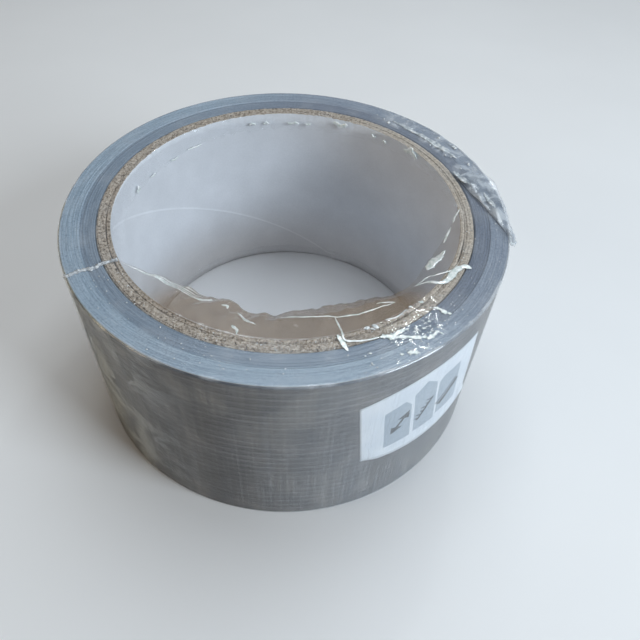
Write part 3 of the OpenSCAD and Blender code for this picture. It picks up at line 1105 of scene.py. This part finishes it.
def build_bubbles(material):
    """Small bubbles and pimples in the film, thickest on the right of the front, finished near-white as
    painted glints.
    """
    draw = np.random.default_rng(91)

    def scattered(count, angle, radius, size):
        return [(angle(), draw.uniform(*radius), draw.uniform(*size)) for _ in range(count)]

    spots = [(-67.8, 38.4, 0.5), (-65.4, 38.7, 0.62), (-66.6, 39.0, 0.35)]
    spots += scattered(50, lambda: draw.normal(-58, 7), (41.5, 47.3), (0.09, 0.2))
    spots += scattered(110, lambda: draw.uniform(-150, -5), (38.8, 47.8), (0.08, 0.17))
    spots += scattered(14, lambda: draw.uniform(12, 60), (43, 47.6), (0.2, 0.5))
    # a low dome: rings one above the other, its top, and a point under it
    around, rings = 12, 3
    spin = np.radians(full_turn(around))
    slopes = np.radians([28 * ring for ring in range(rings)])[:, None]
    across = np.append(np.cos(slopes) * np.cos(spin), [0, 0])
    along = np.append(np.cos(slopes) * np.sin(spin), [0, 0])
    rise = np.append(0.45 * np.sin(slopes) + 0 * spin, [0.45, 0])
    sunk = np.array([0.01] * (around * rings) + [0, 0.02])
    count = len(rise)
    dome = grid_faces(rings, around, close_columns=True)
    dome += fan_faces((rings - 1) * around, around, count - 2) + fan_faces(0, around, count - 1)
    points, faces = [], []
    for number, (angle, radius, size) in enumerate(spots):
        stretch = draw.uniform(0.7, 1.8)
        turn = draw.uniform(0, math.pi)
        x, y = size * stretch * across, size / stretch * along
        east = x * math.cos(turn) - y * math.sin(turn)
        north = x * math.sin(turn) + y * math.cos(turn)
        points.append(on_film(angle, radius) + np.stack([east, north, size * rise - sunk], -1))
        faces += [[number * count + corner for corner in face] for face in dome]
    return make_piece("film_bubbles", np.concatenate(points), faces, (), [material])


def build_wrap():
    film = film_finish()
    # painted highlight: the creases, strands, puckers and gathers share this near-white, nearly opaque
    # finish, partly folded film and partly glints
    seam = folded_finish("film_seam", 0.8, 0.75, 1.0, srgb(236, 250, 246), WHITE, 0.03)
    flap = folded_finish("film_flap", 4.0, 0.1, 0.42, srgb(170, 184, 202), srgb(240, 246, 252), 0.03)
    # painted shade under the flap's fold
    fold = folded_finish("film_fold_shade", 1.4, 0.4, 0.7, srgb(62, 70, 86), srgb(92, 102, 120), 0.02)
    # painted highlight on the ear's folds
    soft = folded_finish("film_ear_glint", 1.2, 0.4, 0.85, srgb(200, 214, 224), srgb(250, 253, 255), 0.03)
    # painted highlight: the bubbles' near-white sparkle
    bubble_glints = folded_finish("film_dots", 0.5, 0.6, 1.0, srgb(226, 236, 242), WHITE, 0.02)
    panels = [
        ("film_front", SEAM_LEFT_AT, SEAM_RIGHT_AT, 0.4, front_lip_point, 24, [film, lip_finish()]),
        ("film_back", SEAM_RIGHT_AT, SEAM_LEFT_AT + 360, 0.5, back_lip_point, 18, [film, film]),
    ]
    for name, *shape in panels:
        build_film(name, f"{name}_panel", *shape)
    build_creases(seam)
    build_puckers(seam)
    build_rim_puckers(seam)
    build_left_seam(ridge_finish())
    build_right_seam(flap, fold)
    build_ear_folds(soft)
    build_bubbles(bubble_glints)


# ------------------------------------------------------------ stage, lights and camera
def aim(thing, place, target):
    thing.location = Vector(place) * MM
    direction = (Vector(target) - Vector(place)).normalized()
    thing.rotation_euler = direction.to_track_quat("-Z", "Y").to_euler()


def softbox(name, place, target, size, power, colour):
    lamp = bpy.data.lights.new(name, "AREA")
    lamp.shape = "RECTANGLE"
    lamp.size, lamp.size_y = size[0] * MM, size[1] * MM
    lamp.energy = power
    lamp.color = colour
    thing = bpy.data.objects.new(name, lamp)
    bpy.context.scene.collection.objects.link(thing)
    aim(thing, place, target)
    return thing


def build_stage():
    floor_r = 1500
    rim = polar(floor_r, full_turn(96), 0)
    faces = [list(range(len(rim)))]
    mesh = bpy.data.meshes.new("floor")
    mesh.from_pydata((rim * MM).tolist(), [], faces)
    floor = bpy.data.objects.new("floor", mesh)
    bpy.context.scene.collection.objects.link(floor)
    finish = Finish("floor", roughness=0.8)
    tone = finish.noise(60, detail=2)
    finish.set("Base Color", finish.ramp(tone, (0.3, srgb(240, 240, 241)), (0.7, srgb(243, 243, 244))))
    mesh.materials.append(finish.material)


def build_lights():
    softbox("sky", (60, 180, 580), (0, 0, 20), (420, 420), 1.7, (0.86, 0.94, 1.0))
    softbox("right_window", (440, -290, 335), (0, 0, 20), (240, 260), 2.5, (0.82, 0.92, 1.0))
    softbox("back_window", (146, 339, 503), (22, -37, 50), (26, 26), 0.12, (0.93, 1.0, 0.98))
    softbox("left_glow", (-520, -160, 160), (0, 0, 20), (300, 200), 0.5, (1.0, 0.8, 0.56))
    world = bpy.data.worlds.new("room")
    world.use_nodes = True
    bpy.context.scene.world = world
    sky = world.node_tree.nodes["Background"]
    sky.inputs["Color"].default_value = (1.0, 0.94, 0.87, 1)
    sky.inputs["Strength"].default_value = 0.1


def build_camera():
    """A hand-held camera close above the front of the roll, turned a little to the right and tilted."""
    place = (0, -107.1, 136.2)
    down, right, tilt = 47.49, 4.46, 3.44
    view = math.radians(55.27)
    lens_drop = -0.032
    camera = bpy.data.cameras.new("camera")
    camera.sensor_fit = "HORIZONTAL"
    camera.angle = view
    camera.shift_y = lens_drop
    camera.clip_start = 0.005
    thing = bpy.data.objects.new("camera", camera)
    bpy.context.scene.collection.objects.link(thing)
    turn = Matrix.Rotation(math.radians(-right), 4, "Z")
    pitch = Matrix.Rotation(math.radians(90 - down), 4, "X")
    roll = Matrix.Rotation(math.radians(tilt), 4, "Z")
    thing.matrix_world = Matrix.Translation(Vector(place) * MM) @ turn @ pitch @ roll
    bpy.context.scene.camera = thing


def build_roll():
    edge = tape_edge_finish()
    backing = backing_finish()
    board = board_finish("core_board", srgb(208, 196, 182), srgb(142, 129, 115))
    inner_board = board_finish("inner_board", srgb(206, 193, 178), srgb(150, 137, 122))
    build_liner(liner_finish("liner_paper"), liner_finish("liner_joint", 14), inner_board)
    for number in range(1, 6):
        build_ply(number, inner_board if number == 1 else board)
    build_winding(edge, backing)
    build_last_turn(backing)
    panel_ink = ink_finish("panel_ink", srgb(186, 198, 208), srgb(160, 174, 188), 0.35)
    mark_ink = ink_finish("mark_ink", srgb(44, 50, 52), srgb(30, 34, 36), 0.6)
    build_label(label_finish(), panel_ink, mark_ink)


def finish_scene():
    scene = bpy.context.scene
    scene.view_settings.view_transform = "Standard"


def plain(bounds):
    return [[float(value) for value in corner] for corner in bounds]


build_stage()
build_lights()
build_camera()
build_roll()
build_wrap()
finish_scene()
